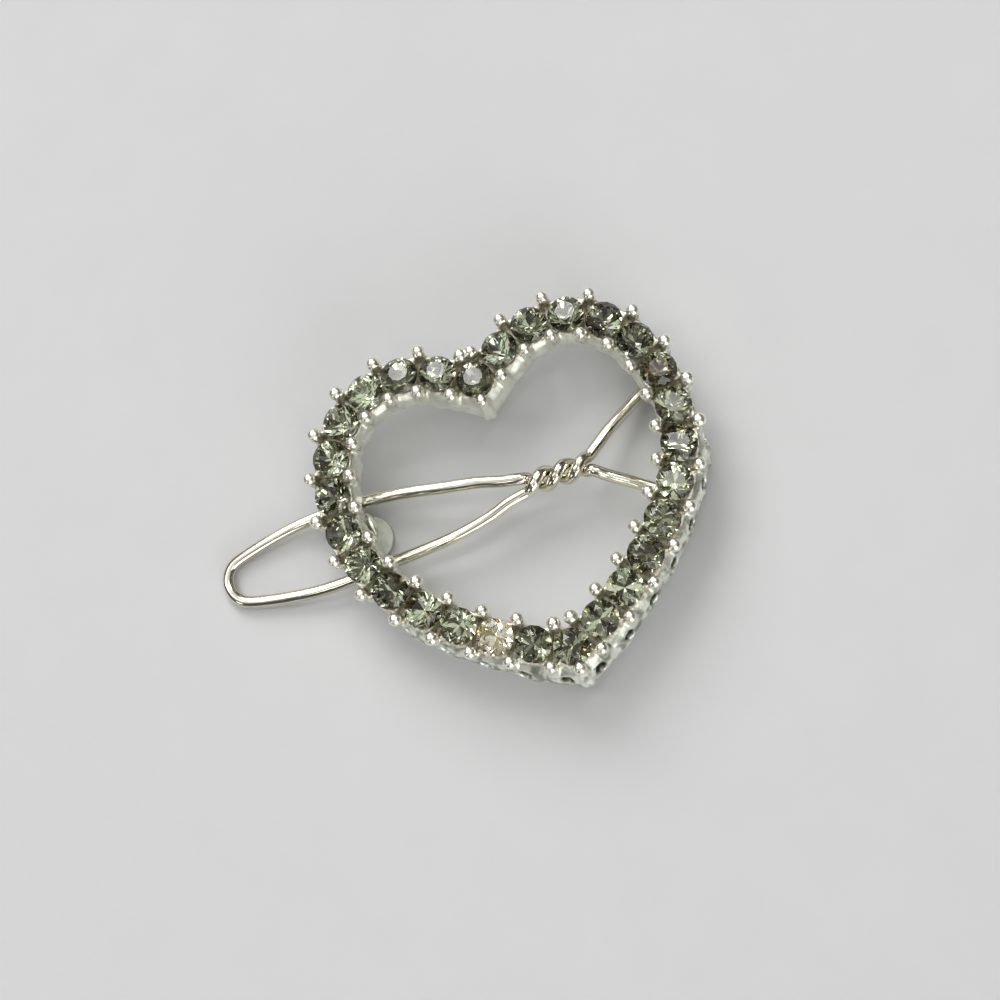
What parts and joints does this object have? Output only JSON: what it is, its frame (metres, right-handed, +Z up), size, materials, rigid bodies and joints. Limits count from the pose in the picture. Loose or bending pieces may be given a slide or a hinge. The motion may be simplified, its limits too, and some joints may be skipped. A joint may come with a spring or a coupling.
{
  "type": "heart-shaped rhinestone hair clip",
  "caption": "Open heart of prong-set smoky round stones with a twisted wire clasp that hinges behind it and closes round a catch.",
  "frame": {"origin": "bottom centre of the whole clip, on the surface that it lies on, back down", "axes": "+X from the wire loop towards the hinge, +Y from the heart's tip towards its notch, +Z up out of the stones"},
  "size_m": [0.0418, 0.0308, 0.0062],
  "materials": {
    "cast_plating": "bright silver plating over a cast surface, slightly uneven",
    "wire_plating": "bright silver plating on drawn steel wire",
    "smoky_glass": "polished faceted glass, smoky grey-green, foiled behind"
  },
  "bodies": {
    "clasp": {"wire_clasp": "wire_plating"},
    "frame": {"heart_frame": "cast_plating", "hinge_lug_upper": "cast_plating", "hinge_lug_lower": "cast_plating", "catch_hook": "cast_plating", "stone_01": "smoky_glass", "stone_02": "smoky_glass", "stone_03": "smoky_glass", "stone_04": "smoky_glass", "stone_05": "smoky_glass", "stone_06": "smoky_glass", "stone_07": "smoky_glass", "stone_08": "smoky_glass", "stone_09": "smoky_glass", "stone_10": "smoky_glass", "stone_11": "smoky_glass", "stone_12": "smoky_glass", "stone_13": "smoky_glass", "stone_14": "smoky_glass", "stone_15": "smoky_glass", "stone_16": "smoky_glass", "stone_17": "smoky_glass", "stone_18": "smoky_glass", "stone_19": "smoky_glass", "stone_20": "smoky_glass", "stone_21": "smoky_glass", "stone_22": "smoky_glass", "stone_23": "smoky_glass", "stone_24": "smoky_glass", "stone_25": "smoky_glass", "stone_26": "smoky_glass", "stone_27": "smoky_glass", "stone_28": "smoky_glass"}
  },
  "joints": [
    {"name": "clasp_hinge", "type": "hinge", "parent": "clasp", "child": "frame", "pos_m": [0.01864, 0.0011, 0.0012], "axis": [0.041, 0.9992, 0], "range_deg": [0, 90]}
  ]
}
